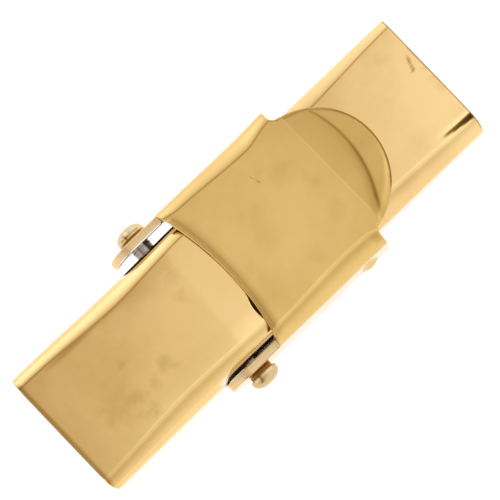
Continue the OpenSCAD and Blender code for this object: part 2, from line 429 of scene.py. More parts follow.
def polished_gold(name, clean, tarnished, haze, stains=(), scuffs=()):
    """Gold-filled brass sheet, rolled, folded and buffed by hand, then worn for years.

    It gives the eye a clear mirror with warm depth. haze is (x, amount, x, amount), a veil of tarnish
    that changes along the piece, and stains are (x, y, radius, strength) patches of it, all places
    in millimetres. It is painted browner towards -Y, as painted shade on the near side. Grime and
    painted shade lie where the piece's attribute says, and grime in scuffs of (x, y, length, width,
    direction in degrees, strength). The inside of the sheet was never buffed, and a near-white
    painted reflection of the white card lies where the piece's other attribute says."""
    material, tree, shader = new_material(name)
    place = add(tree, "ShaderNodeTexCoord").outputs["Object"]
    in_mm = add(tree, "ShaderNodeMapping", {"Vector": place, "Scale": (1 / MM,) * 3}).outputs[0]
    parts = add(tree, "ShaderNodeSeparateXYZ", {0: in_mm}).outputs

    # Soft cloudy edges for the patches: the place is pushed about by noise before it is measured
    noise = add(tree, "ShaderNodeTexNoise", {"Vector": in_mm, "Scale": 1.1, "Detail": 5}).outputs["Color"]
    push = add(tree, "ShaderNodeVectorMath", {0: noise, 1: (0.5, 0.5, 0.5)}, operation="SUBTRACT").outputs[0]
    pushed = add(
        tree,
        "ShaderNodeVectorMath",
        {0: push, 1: (1.7, 1.7, 0), 2: in_mm},
        operation="MULTIPLY_ADD",
    ).outputs[0]
    cloudy_plan = add(tree, "ShaderNodeVectorMath", {0: pushed, 1: (1, 1, 0)}, operation="MULTIPLY")
    start, first, end, last = haze
    veil = add(tree, "ShaderNodeMapRange", {0: parts["X"], 1: start, 2: end, 3: first, 4: last})
    cloud = add(tree, "ShaderNodeTexNoise", {"Vector": in_mm, "Scale": 0.5, "Detail": 6, "Roughness": 0.6})
    cloudy = add(tree, "ShaderNodeMapRange", {0: cloud.outputs["Fac"], 1: 0.35, 2: 0.7, 3: -0.05, 4: 0.1})
    # Painted shade: the near side, towards -Y, gets more of the tarnished colour
    near_side_shade = add(tree, "ShaderNodeMapRange", {0: parts["Y"], 1: -1.2, 2: -3.4, 3: 0, 4: 0.24})
    layers = [cloudy, near_side_shade]
    for x, y, r, strength in stains:
        apart = add(
            tree,
            "ShaderNodeVectorMath",
            {0: cloudy_plan.outputs[0], 1: (x, y, 0)},
            operation="DISTANCE",
        ).outputs["Value"]
        spot = add(
            tree,
            "ShaderNodeMapRange",
            {0: apart, 1: r, 2: 0, 3: 0, 4: strength},
            interpolation_type="SMOOTHSTEP",
        )
        layers.append(spot)
    tarnish = veil.outputs[0]
    for layer in layers:
        tarnish = add(tree, "ShaderNodeMath", {0: tarnish, 1: layer.outputs[0]}, operation="ADD").outputs[0]
    colours = {0: tarnish, 6: linear(clean), 7: linear(tarnished)}
    metal = add(tree, "ShaderNodeMix", colours, data_type="RGBA", clamp_factor=True).outputs[2]
    unbuffed = add(tree, "ShaderNodeAttribute", attribute_name="unbuffed").outputs["Fac"]
    # Painted reflection: a near-white colour where the white card shows beside the ears
    pale_reflection = add(tree, "ShaderNodeAttribute", attribute_name="painted pale reflection").outputs["Fac"]
    for share, colour in ((unbuffed, linear("#9C7A45")), (pale_reflection, linear("#F4EFE6"))):
        metal = add(tree, "ShaderNodeMix", {0: share, 6: metal, 7: colour}, data_type="RGBA").outputs[2]

    # The grime attribute holds real grime and painted shade together
    grime_and_shade = add(tree, "ShaderNodeAttribute", attribute_name="grime_and_shade").outputs["Fac"]
    plan = add(tree, "ShaderNodeVectorMath", {0: in_mm, 1: (1, 1, 0)}, operation="MULTIPLY").outputs[0]
    for x, y, length, width, direction, strength in scuffs:
        on_mark = add(
            tree,
            "ShaderNodeMapping",
            {
                "Vector": plan,
                "Location": (x, y, 0),
                "Rotation": (0, 0, math.radians(direction)),
                "Scale": (length / 2, width / 2, 1),
            },
            vector_type="TEXTURE",
        ).outputs[0]
        out = add(tree, "ShaderNodeVectorMath", {0: on_mark}, operation="LENGTH").outputs["Value"]
        mark = add(tree, "ShaderNodeMapRange", {0: out, 1: 1, 2: 0.3, 3: 0, 4: strength}).outputs[0]
        grime_and_shade = add(tree, "ShaderNodeMath", {0: grime_and_shade, 1: mark}, operation="ADD").outputs[0]
    tree.links.new(grimed_and_shaded(tree, metal, grime_and_shade), shader.inputs["Base Color"])
    bare = add(tree, "ShaderNodeMapRange", {0: grime_and_shade, 2: 0.55, 3: 1, 4: 0.08}).outputs[0]
    tree.links.new(bare, shader.inputs["Metallic"])
    gloss = add(tree, "ShaderNodeMapRange", {0: grime_and_shade, 3: 0.5, 4: 0.0}).outputs[0]
    tree.links.new(gloss, shader.inputs["Specular IOR Level"])

    smear = add(tree, "ShaderNodeTexNoise", {"Vector": in_mm, "Scale": 1.3, "Detail": 6}).outputs["Fac"]
    rough = add(tree, "ShaderNodeMapRange", {0: smear, 1: 0.35, 2: 0.75, 3: 0.07, 4: 0.13}).outputs[0]
    for share, dulled in ((tarnish, 0.08), (unbuffed, 0.3), (grime_and_shade, 0.5)):
        factors = {0: share, 1: dulled, 2: rough}
        rough = add(tree, "ShaderNodeMath", factors, operation="MULTIPLY_ADD").outputs[0]
    tree.links.new(rough, shader.inputs["Roughness"])

    # Hair scratches about 0.03 mm wide, the finest that shows at this size, in three directions
    scratches = 0.0
    for angle, rarity in ((0.25, 0.7), (1.1, 0.72), (2.3, 0.71)):
        along = add(
            tree,
            "ShaderNodeMapping",
            {"Vector": in_mm, "Rotation": (0, 0, angle), "Scale": (0.45, 14, 3)},
        ).outputs[0]
        hair = add(tree, "ShaderNodeTexNoise", {"Vector": along, "Scale": 1, "Detail": 2}).outputs["Fac"]
        line = add(tree, "ShaderNodeMapRange", {0: hair, 1: rarity, 2: rarity + 0.08}).outputs[0]
        both = {0: scratches, 1: line}
        scratches = add(tree, "ShaderNodeMath", both, operation="MAXIMUM").outputs[0]
    relief = {"Height": scratches, "Strength": 0.1, "Distance": 0.003 * MM}
    bump = add(tree, "ShaderNodeBump", relief, invert=True)
    tree.links.new(bump.outputs[0], shader.inputs["Normal"])
    return material


def mark_wear_and_light(piece, dirt_and_shade, pale_reflection, dust_and_shade_inside=0.0):
    """Notes three marks on each point, 0 to 1: grime and painted shade, which is dirt_and_shade(x, y, z) or
    the dust and painted shade on the inside of the sheet; unbuffed, that inside; and the near-white painted
    reflection, which is pale_reflection(x, y, z)."""
    count = len(piece.data.vertices)
    places = np.empty(count * 3)
    piece.data.vertices.foreach_get("co", places)
    x, y, z = places.reshape(-1, 3).T / MM
    share = np.zeros(count)
    depths = piece.data.attributes.get("inside")
    if depths:
        depths.data.foreach_get("value", share)
    within = smooth(0.4, 1, share)
    pale = pale_reflection(x, y, z)
    wear_and_light = {
        "grime_and_shade": np.maximum(dirt_and_shade(x, y, z), dust_and_shade_inside * within),
        "unbuffed": within * (1 - pale),
        "painted pale reflection": pale,
    }
    for name, amount in wear_and_light.items():
        note = piece.data.attributes.new(name, "FLOAT", "POINT")
        note.data.foreach_set("value", np.clip(amount, 0, 1).astype(np.float32))


def sawn_edge(name, colour):
    """The cut edge of the sheet: sawn and filed, never buffed, so it is a matte paler tan."""
    material, tree, shader = new_material(name)
    shader.inputs["Metallic"].default_value = 1
    grime_and_shade = add(tree, "ShaderNodeAttribute", attribute_name="grime_and_shade").outputs["Fac"]
    tree.links.new(grimed_and_shaded(tree, linear(colour), grime_and_shade), shader.inputs["Base Color"])
    place = add(tree, "ShaderNodeTexCoord").outputs["Object"]
    # File marks across the edge, about 0.05 mm apart
    scale = (9 / MM, 1.5 / MM, 9 / MM)
    filed = add(tree, "ShaderNodeMapping", {"Vector": place, "Scale": scale}).outputs[0]
    marks = add(tree, "ShaderNodeTexNoise", {"Vector": filed, "Scale": 5}).outputs["Fac"]
    rough = add(tree, "ShaderNodeMapRange", {0: marks, 1: 0.3, 2: 0.7, 3: 0.3, 4: 0.5}).outputs[0]
    tree.links.new(rough, shader.inputs["Roughness"])
    bump = add(tree, "ShaderNodeBump", {"Height": marks, "Strength": 0.5, "Distance": 0.01 * MM})
    tree.links.new(bump.outputs[0], shader.inputs["Normal"])
    return material


def on_hinge_channel(x, y, z):
    """Painted shade in the crevice beside the ears, a dark line along the outer end, and painted shade at
    the inner end where it runs below the lever.
    """
    shade_beside_ears = (np.abs(y) > 3.2) * smooth(2.26, 2.16, z) * smooth(-5.2, -4.8, x)
    outer_end = smooth(0.1, 0.03, x + CHANNEL_END) * smooth(3.0, 2.6, np.abs(y))
    shade_below_lever = smooth(-0.055, -0.03, x - inner_end(y))
    return np.max([0.85 * shade_beside_ears, 0.5 * outer_end, shade_below_lever], axis=0)


def white_reflection_by_ears(x, y, z):
    """Painted reflection: the bends and walls beside the ears are painted near-white where the white card
    shows in the gap.
    """
    return 0.75 * smooth(3.25, 3.45, np.abs(y - hinge_shift(x))) * smooth(-5.3, -4.9, x)


# Dust and painted shade on the inside of the channels
CHANNEL_DUST_AND_SHADE = 0.4
HINGE_HAZE = (-11.0, 0.1, -2.5, -0.03)
# Place x and y, radius, strength
HINGE_STAINS = [
    (-7.8, 0.3, 0.5, 0.36),
    (-8.9, -1.0, 1.5, 0.26),
    (-9.7, -1.2, 0.8, 0.22),
    (-8.5, -1.4, 0.7, 0.3),
    (-8.3, -2.3, 0.5, 0.4),
    (-7.2, -1.3, 0.5, 0.3),
    (-6.2, -1.2, 0.6, 0.42),
    (-3.6, 0.7, 0.6, 0.2),
    (-3.2, 1.8, 0.7, 0.15),
    (-8.4, 0.8, 3.3, 0.3),
]
worn_gold = polished_gold("worn gold-filled sheet", "#F6D08C", "#CCA657", HINGE_HAZE, HINGE_STAINS)
edge_gold = sawn_edge("filed gold-filled edge", "#EBCB98")
mark_wear_and_light(hinge_channel, on_hinge_channel, white_reflection_by_ears, CHANNEL_DUST_AND_SHADE)
hinge_channel.data.materials.append(worn_gold)
hinge_channel.data.materials.append(edge_gold)
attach(hinge_channel, "channels")
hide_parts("hinge_channel")

# Catch channel: the right half, folded from the same sheet on the same form and cut square at
# its outer end. A strip soldered into its floor runs back below the lever and ends in a hook
# round the hinge pin, so that the cord's pull is held by the pin and not by the lever.
CATCH_START = -0.55
SLIT_X, SLIT_L, SLIT_Y, SLIT_SKEW = 9.95, 2.05, -2.47, 0.13
DIMPLE_X, DIMPLE_Z = 3.77, 1.3
PIP_R, PIP_H = 0.52, 0.2
CATCH_WAVES = [(0.0020, 1.9, -0.7, 0), (0.0014, 0.9, 1.5, 2)]
catch_far_r = through([6, 12.3], [0.85, 0.54])
catch_near_r = through([6, 12.3], [1.05, 0.82])
catch_shift = through([0, 6], [0.03, 0.06])


def dome(x, z, r, h):
    """Height of a pressed dimple round the snap's place on a wall."""
    far = np.clip(np.hypot(x - DIMPLE_X, z - DIMPLE_Z) / r, 0, 1)
    return h * (1 - far**2) ** 1.5


def pip(x, z):
    """The pip on each wall that the lever's dimple snaps over."""
    return dome(x, z, PIP_R, PIP_H)


def opened(x):
    """How far the slit-like crease beside the near bend has opened, 0 to 1, outwards along x."""
    return np.clip((x - SLIT_X) / SLIT_L, 0, 1)


def catch_shape(x, y):
    """Height added to the arch: hand work, the crease, and a rolled outer end."""
    from_slit = np.abs(y - SLIT_Y + SLIT_SKEW * opened(x))
    crease = -0.008 * opened(x) * np.clip(1 - from_slit / 0.2, 0, 1)
    rolled = rolled_end(x - CHANNEL_END, reach=0.2, drop=0.1)
    return hand_work(x, y, CATCH_WAVES) + crease + rolled


def catch_left(s):
    """The hidden inner end, cut square."""
    return CATCH_START


def catch_right(s):
    """The outer end, cut by eye a hair out of square and worn round where it passes over the near
    bend."""
    reach = 3.5
    out_of_square = 0.014 * (np.clip(s, -reach, reach) - reach)
    worn = np.where(s > 0, 0.02, 0.12)
    return CHANNEL_END + out_of_square - worn * smooth(2.6, 3.9, np.abs(s))


catch_skin = channel_skin(catch_far_r, catch_near_r, catch_shape, catch_shift, press=pip)
catch_channel = folded_sheet(
    "catch_channel_sheet",
    channel_outline(catch_left, catch_right, corner=0.2),
    [],
    spaced((CATCH_START, 3.1, 0.2), (3.1, 4.5, 0.09), (4.5, 10.2, 0.13), (10.2, CHANNEL_END, 0.06)),
    channel_rows,
    catch_skin,
    CHANNEL_SHEET,
)

HOOK_PLAY, HOOK_SHEET = 0.06, 0.38
HOOK_TURN = math.radians(205)
HOOK_R = PIN_R + HOOK_PLAY + HOOK_SHEET
HOOK_HALF_W, HOOK_TIP_R = 1.9, 0.4
STRIP_END = CATCH_START + 3
STRIP_REACH = STRIP_END - PIN_X  # from its soldered end to the place below the pin
STRIP_L = STRIP_REACH + HOOK_TURN * HOOK_R
STRIP_HALF_W = SLOT_HALF_W - 0.02
STRIP_STEP = 4.45  # where it narrows, measured from its soldered end


def strip_skin(t, s):
    """Underside of the strip, for a place t along it from its soldered end to the hook's tip."""
    x = STRIP_END - np.minimum(t, STRIP_REACH)
    z = (PIN_Z - HOOK_R) * smooth(CATCH_START - 0.75, PIN_X + 1.4, x)
    angle = np.radians(270) - np.clip(t - STRIP_REACH, 0, None) / HOOK_R
    # It leans across to stay in the middle of the hinge channel's slot
    y = s + hinge_shift(x) * smooth(CATCH_START, CATCH_START - 0.9, x)
    x = x + HOOK_R * np.cos(angle)
    z = z + HOOK_R * (np.sin(angle) + 1)
    return np.stack([x, y, z], 1)


step_r = STRIP_HALF_W - HOOK_HALF_W
strip_half = [
    *straight((0, 0), (0, STRIP_HALF_W)),
    *straight((0, STRIP_HALF_W), (STRIP_STEP, STRIP_HALF_W)),
    *arc((STRIP_STEP, HOOK_HALF_W), step_r, 90, 0),
    *straight((STRIP_STEP + step_r, HOOK_HALF_W), (STRIP_L - HOOK_TIP_R, HOOK_HALF_W)),
    *arc((STRIP_L - HOOK_TIP_R, HOOK_HALF_W - HOOK_TIP_R), HOOK_TIP_R, 90, 0),
    *straight((STRIP_L, HOOK_HALF_W - HOOK_TIP_R), (STRIP_L, 0)),
]
strip = folded_sheet(
    "hook_strip",
    strip_half + [(STRIP_L, 0)] + [(t, -s) for t, s in strip_half[:0:-1]],
    [],
    spaced((0, STRIP_L, 0.1)),
    spaced((-SLOT_HALF_W, SLOT_HALF_W, 0.2)),
    strip_skin,
    HOOK_SHEET,
)


def soldered(piece, part):
    """Makes part one mesh with piece."""
    whole = bmesh.new()
    whole.from_mesh(piece.data)
    whole.from_mesh(part.data)
    whole.to_mesh(piece.data)
    whole.free()
    bpy.data.objects.remove(part)


def on_catch_channel(x, y, z):
    """Painted shade in the crease, wider and darker outwards, a dark line along the cut end, and painted
    shade on the strip and its hook inside the clasp."""
    from_slit = np.abs(y - SLIT_Y + 0.03 + SLIT_SKEW * opened(x))
    from_end = x - catch_right(y)
    # Painted shade in the opened crease
    crease = smooth(0.19 * opened(x), 0.12 * opened(x) - 0.01, from_slit)
    crease = crease * smooth(-0.03, -0.08, from_end) * (0.3 + 0.65 * np.sqrt(opened(x)))
    end_line = 0.35 * between(-0.11, -0.06, -0.02, -0.005, from_end)
    # Painted shade on the strip and hook inside the clasp
    shade_on_strip = 0.62 * (x < CATCH_START)
    return np.maximum(crease, end_line) * (z > 2) + shade_on_strip


def nowhere(x, y, z):
    """Zero at every point: no painted reflection and no grime."""
    return 0 * x


CATCH_HAZE = (7.5, 0.12, 10.5, 0.0)
CATCH_STAINS = [(10.9, 2.3, 0.8, 0.1), (12.1, 0.6, 0.4, 0.25), (12.1, -0.5, 0.4, 0.25)]
# Place x and y, length, width, direction, strength
CATCH_SCUFFS = [
    (11.74, 1.34, 0.56, 0.24, 60, 0.24),
    (11.60, 0.92, 0.60, 0.28, 68, 0.18),
    (11.72, 1.24, 0.34, 0.10, 12, 0.2),
    (11.68, 1.13, 0.36, 0.09, 4, 0.24),
    (11.61, 1.00, 0.30, 0.08, 9, 0.2),
    (11.58, 0.87, 0.26, 0.08, 2, 0.2),
    (11.52, 0.78, 0.48, 0.10, 6, 0.26),
]
bright_gold = polished_gold(
    "bright gold-filled sheet", "#F7D290", "#C08E48", CATCH_HAZE, CATCH_STAINS, CATCH_SCUFFS
)
soldered(catch_channel, strip)
mark_wear_and_light(catch_channel, on_catch_channel, nowhere, CHANNEL_DUST_AND_SHADE)
catch_channel.data.materials.append(bright_gold)
catch_channel.data.materials.append(edge_gold)
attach(catch_channel, "channels")
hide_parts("catch_channel")

# Lever: the cover that swings up on the pin and snaps down over both channels. It is one blank
# of thicker gold-filled sheet: a plate with a hollow left edge, two walls that run back into
# round ears for the pin, snap dimples punched from inside, and a thumb tongue bent up and over.
LEVER_SHEET = 0.45
LEVER_HALF_W = pin_high[1]
LEVER_TOP, LEVER_FOOT = 3.9, 0.3
LEVER_CROWN = CROWN * 0.7
# Where the plate, the bend and the wall end, across the blank from its middle line
LEVER_FOLDS = np.cumsum([0, 3.6, 1.02, 2.82])
LEVER_WAVES = [(0.0020, 1.7, 1.2, 0), (0.0016, -0.8, 1.6, 2)]
SHOULDER_X, TONGUE_X, TONGUE_R = 5.02, 4.55, 3.54
FILLET_R, FOOT_CORNER_R = 0.45, 0.2
TONGUE_FOOT_X = 5.56  # where the tongue begins to rise, at a crease across the plate
TONGUE_RISE = math.radians(3.9)
RIDGE_CENTRE, RIDGE_R, RIDGE_SOFT = (0.95, 0.68), 6.1, 0.018
EAR_X, EAR_R, EAR_PLAY = PIN_X - 0.25, 1.35, 0.02
EAR_ROOT_R = 0.14
NEAR_EAR_BEND = 0.09
DIMPLE_R, DIMPLE_H = 0.62, 0.18
lever_far_r = through([-1.3, 3.3, 5.0], [0.68, 0.96, 0.66])
lever_near_r = through([-1.3, 3.2, 4.5, 5.4], [0.86, 1.02, 0.96, 0.66])


def lever_shape(x, y):
    """Height of the plate over its flat: rolled left margin, crease, tongue, its ridge and its lip."""
    margin_w = 0.63 + 0.17 * smooth(0.5, 3.0, y)
    margin = np.clip(1 - (x - cover_edge(y)) / margin_w, 0, None)
    roll = -0.11 * margin_w * smooth(0, 1, margin**1.5) * (1 - smooth(3.4, 4.3, np.abs(y)))
    on_tongue = x - TONGUE_FOOT_X
    rise = math.tan(TONGUE_RISE) * np.clip(on_tongue, 0, None)
    # The tongue curls up steeply to its ridge and then lies nearly level again
    short_of_ridge = RIDGE_R - np.hypot(x - RIDGE_CENTRE[0], y - RIDGE_CENTRE[1])
    short_of_ridge = RIDGE_SOFT * np.logaddexp(0, short_of_ridge / RIDGE_SOFT)
    to_near_side = smooth(0.6, -0.8, y)
    curl_h, curl_l = 0.038 + 0.016 * to_near_side, 0.1 + 0.04 * to_near_side
    curl = curl_h * np.exp(-short_of_ridge / curl_l) * smooth(-0.1, 0.7, on_tongue)
    lip_w = 0.2 + 0.22 * smooth(-1.0, -2.4, y)
    on_lip = np.clip(np.hypot(x - TONGUE_X, y) - (TONGUE_R - lip_w), 0, None) * (on_tongue > 0)
    lip = -0.09 * on_lip**2 / lip_w
    crease = -0.012 * smooth(-0.045, 0.045, on_tongue + 0.06) * smooth(0.1, 0.5, short_of_ridge)
    return roll + rise + curl + lip + crease + hand_work(x, y, LEVER_WAVES)


def lever_skin(x, s):
    """Outside of the folded lever."""
    far = np.abs(s)
    part = [np.clip((far - a) / (b - a), 0, 1) for a, b in zip(LEVER_FOLDS[:-1], LEVER_FOLDS[1:])]
    r = np.where(s > 0, lever_far_r(x), lever_near_r(x))
    plate = LEVER_HALF_W - r * (1 - math.sin(LEVER_CROWN))
    crown = plate * math.tan(LEVER_CROWN) / 2
    turn = LEVER_CROWN + (math.pi / 2 - LEVER_CROWN) * part[1]
    y = plate * part[0] + r * (np.sin(turn) - math.sin(LEVER_CROWN))
    z = LEVER_TOP - crown * part[0] ** 2 - r * (math.cos(LEVER_CROWN) - np.cos(turn))
    z = z - (LEVER_TOP - crown - r * math.cos(LEVER_CROWN) - LEVER_FOOT) * part[2]
    z = z + lever_shape(x, np.sign(s) * y) * (1 - smooth(0, 1, part[1]))
    y = y + dome(x, z, DIMPLE_R, DIMPLE_H) * (part[2] > 0)
    # The round end of the near ear is bent in a little
    y = y - NEAR_EAR_BEND * (s < 0) * smooth(-3.5, -5.0, x)
    return np.stack([x, np.sign(s) * y, z], 1)


def across(skin, x, y, reach, side):
    """How far across the blank a place y out from the middle, on the top or a bend, lies at x."""
    s = np.linspace(0, reach, LOOKUPS)
    found = skin(np.full(LOOKUPS, float(x)), s * side)[:, 1] * side
    return float(np.interp(y, found, s))


def lever_half_outline(side):
    """One half of the blank, from the tongue's tip round to the middle of the left edge."""
    plate, bend, wall = LEVER_FOLDS[1:]

    def on_top(x, y):
        return (x, across(lever_skin, x, y, bend, side))

    def on_wall(x, z):
        return (x, down(lever_skin, x, z, plate, wall, side))

    fillet_x = SHOULDER_X + FILLET_R
    fillet_y = math.sqrt((TONGUE_R + FILLET_R) ** 2 - (fillet_x - TONGUE_X) ** 2)
    meet = math.degrees(math.atan2(fillet_y, fillet_x - TONGUE_X))
    tongue = arc((TONGUE_X, 0), TONGUE_R, 0, meet)
    fillet = arc((fillet_x, fillet_y), FILLET_R, meet + 180, 180)
    points = [on_top(x, y) for x, y in tongue + fillet]
    foot_x, foot_s = SHOULDER_X - FOOT_CORNER_R, wall - FOOT_CORNER_R
    points += straight(points[-1], (SHOULDER_X, foot_s))[1:]
    points += arc((foot_x, foot_s), FOOT_CORNER_R, 0, 90)
    points += straight((foot_x, wall), (EAR_X, wall))
    points += [on_wall(x, z) for x, z in arc((EAR_X, PIN_Z), EAR_R, -90, -270)]
    ear_top = PIN_Z + EAR_R
    edge_x = cover_edge(LEVER_HALF_W)
    root_x = edge_x - EAR_ROOT_R
    points += [on_wall(x, z) for x, z in straight((EAR_X, ear_top), (root_x, ear_top))]
    root_s = on_wall(edge_x, ear_top)[1] - EAR_ROOT_R
    points += arc((root_x, root_s), EAR_ROOT_R, 90, 0)
    for s in np.arange(root_s, POINT_STEP / 2, -POINT_STEP):
        y = out_at(lever_skin, INNER_END_X, min(s, bend) * side)
        points.append((float(cover_edge(y)), s))
    return [(x, side * s) for x, s in points]


far_half, near_half = lever_half_outline(1), lever_half_outline(-1)
lever = folded_sheet(
    "lever_cover",
    far_half + [(float(cover_edge(0.0)), 0.0)] + near_half[:0:-1],
    pin_holes(lever_skin, PIN_R + EAR_PLAY, LEVER_FOLDS),
    spaced(
        (-5, -1.9, 0.16),
        (-1.9, -0.6, 0.06),
        (-0.6, 3.1, 0.12),
        (3.1, 5.5, 0.08),
        (5.5, 5.7, 0.02),
        (5.7, 8.2, 0.05),
    ),
    both_sides(spaced((0, 3.4, 0.1), (3.4, 4.7, 0.055), (4.7, 7.44, 0.09))),
    lever_skin,
    LEVER_SHEET,
)


def tongue_rim_shadow(x, y, z):
    """Painted shadow: a dark line round the tongue's rim, where the gap below the rim shows dark, fading out
    towards its near end.
    """
    from_rim = np.hypot(x - TONGUE_X, y) - TONGUE_R
    rim = smooth(-0.09, -0.055, from_rim) * (x > TONGUE_FOOT_X) * (z > 3)
    return 0.55 * rim * smooth(-2.8, -2.35, y) * (0.35 + 0.65 * smooth(2.8, 1.6, y))


def white_reflection_in_ears(x, y, z):
    """Painted reflection: the inner faces of the ears are painted near-white, the far one over its rim too.
    """
    inner_face = LEVER_HALF_W - LEVER_SHEET
    reach = np.where(y > 0, inner_face + 0.15, inner_face + 0.006)
    on_ear = (z < PIN_Z + EAR_R + 0.05) * (x < COVER_EDGE_X)
    return smooth(3.6, 3.65, np.abs(y)) * (np.abs(y) < reach) * on_ear


LEVER_HAZE = (3.6, 0.4, 6.2, 0.64)
LEVER_STAINS = [
    (3.9, 1.4, 1.0, 0.14),
    (4.5, 0.3, 0.6, 0.16),
    (4.4, -1.6, 0.8, 0.15),
    (2.8, 2.2, 0.5, 0.15),
    (1.3, 0.9, 1.0, 0.12),
    (1.0, -0.3, 1.2, 0.15),
    (-0.3, -1.6, 1.4, 0.2),
    (2.6, -2.6, 0.9, 0.1),
]
LEVER_SCUFFS = [(2.58, 2.26, 0.36, 0.1, -80, 0.16), (2.69, 1.9, 0.26, 0.16, -75, 0.24)]
buffed_gold = polished_gold(
    "buffed gold-filled sheet", "#F7D189", "#CEA559", LEVER_HAZE, LEVER_STAINS, LEVER_SCUFFS
)
mark_wear_and_light(lever, tongue_rim_shadow, white_reflection_in_ears)
lever.data.materials.append(buffed_gold)
lever.data.materials.append(edge_gold)
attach(lever, "lever")
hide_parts("lever")

# Hinge pin: a length of ground steel wire that passes through both ears, both channel walls
# and the hook. Its ends are chamfered and lie under the caps.
PIN_HALF_L = pin_high[1]
PIN_CHAMFER = 0.06
STEPS_ROUND = 96


def lathe_tree():
    """Geometry nodes that turn a profile, points of (radius, place along Y), about an axis along Y."""
    tree = bpy.data.node_groups.new("lathe", "GeometryNodeTree")
    inputs = {
        "Profile": "NodeSocketGeometry",
        "Steps Round": "NodeSocketInt",
        "Axis X": "NodeSocketFloat",
        "Axis Z": "NodeSocketFloat",
        "Metal": "NodeSocketMaterial",
    }
    for name, kind in inputs.items():
        tree.interface.new_socket(name, in_out="INPUT", socket_type=kind)
    tree.interface.new_socket("Turned", in_out="OUTPUT", socket_type="NodeSocketGeometry")
    given = add(tree, "NodeGroupInput").outputs
    size = add(tree, "GeometryNodeAttributeDomainSize", {"Geometry": given["Profile"]}, component="MESH")
    points = size.outputs["Point Count"]
    steps = given["Steps Round"]
    columns = add(tree, "ShaderNodeMath", {0: steps, 1: 1}, operation="ADD").outputs[0]
    sheet = add(tree, "GeometryNodeMeshGrid", {"Vertices X": columns, "Vertices Y": points}).outputs["Mesh"]

    # Each column of the grid is the profile once more, turned back one step so that faces point out
    index = add(tree, "GeometryNodeInputIndex").outputs[0]
    row = add(tree, "ShaderNodeMath", {0: index, 1: points}, operation="FLOORED_MODULO").outputs[0]
    ratio = add(tree, "ShaderNodeMath", {0: index, 1: points}, operation="DIVIDE").outputs[0]
    column = add(tree, "ShaderNodeMath", {0: ratio}, operation="FLOOR").outputs[0]
    step = add(tree, "ShaderNodeMath", {0: -2 * math.pi, 1: steps}, operation="DIVIDE").outputs[0]
    angle = add(tree, "ShaderNodeMath", {0: column, 1: step}, operation="MULTIPLY").outputs[0]
    place = add(tree, "GeometryNodeInputPosition").outputs[0]
    on_profile = add(
        tree,
        "GeometryNodeSampleIndex",
        {"Geometry": given["Profile"], "Index": row},
        data_type="FLOAT_VECTOR",
    )
    tree.links.new(place, on_profile.inputs["Value"])
    parts = add(tree, "ShaderNodeSeparateXYZ", {0: on_profile.outputs[0]}).outputs
    cosine = add(tree, "ShaderNodeMath", {0: angle}, operation="COSINE").outputs[0]
    sine = add(tree, "ShaderNodeMath", {0: angle}, operation="SINE").outputs[0]
    x = add(tree, "ShaderNodeMath", {0: parts[0], 1: cosine, 2: given["Axis X"]}, operation="MULTIPLY_ADD")
    z = add(tree, "ShaderNodeMath", {0: parts[0], 1: sine, 2: given["Axis Z"]}, operation="MULTIPLY_ADD")
    turned_to = add(tree, "ShaderNodeCombineXYZ", {0: x.outputs[0], 1: parts[1], 2: z.outputs[0]}).outputs[0]
    bent = add(tree, "GeometryNodeSetPosition", {"Geometry": sheet, "Position": turned_to}).outputs[0]
    closed = add(tree, "GeometryNodeMergeByDistance", {"Geometry": bent, "Distance": 0.001 * MM}).outputs[0]
    soft = add(tree, "GeometryNodeSetShadeSmooth", {"Geometry": closed}).outputs[0]
    real = add(tree, "GeometryNodeRealizeInstances", {"Geometry": soft}).outputs[0]
    done = add(tree, "GeometryNodeSetMaterial", {"Geometry": real, "Material": given["Metal"]}).outputs[0]
    add(tree, "NodeGroupOutput", {"Turned": done})
    return tree


LATHE = lathe_tree()


def lathe_turned(name, profile, metal):
    """A closed turned piece on the pin's axis: profile is (radius, place along Y), from -Y to +Y."""
    mesh = bpy.data.meshes.new(name)
    mesh.from_pydata([(r * MM, y * MM, 0) for r, y in profile], [], [])
    piece = bpy.data.objects.new(name, mesh)
    bpy.context.scene.collection.objects.link(piece)
    lathe = piece.modifiers.new("lathe", "NODES")
    lathe.node_group = LATHE
    names = {item.name: item.identifier for item in LATHE.interface.items_tree}
    lathe[names["Steps Round"]] = STEPS_ROUND
    lathe[names["Axis X"]] = PIN_X * MM
    lathe[names["Axis Z"]] = PIN_Z * MM
    lathe[names["Metal"]] = metal
    evaluated = piece.evaluated_get(bpy.context.evaluated_depsgraph_get())
    piece.data = bpy.data.meshes.new_from_object(evaluated)
    piece.modifiers.clear()
    return piece


def set_stops(ramp, stops):
    """Gives a colour ramp its (place, value or colour) stops."""
    elements = ramp.color_ramp.elements
    while len(elements) < len(stops):
        elements.new(0.5)
    for element, (place, value) in zip(elements, stops):
        element.position = place
        element.color = value if isinstance(value, list) else [value, value, value, 1]


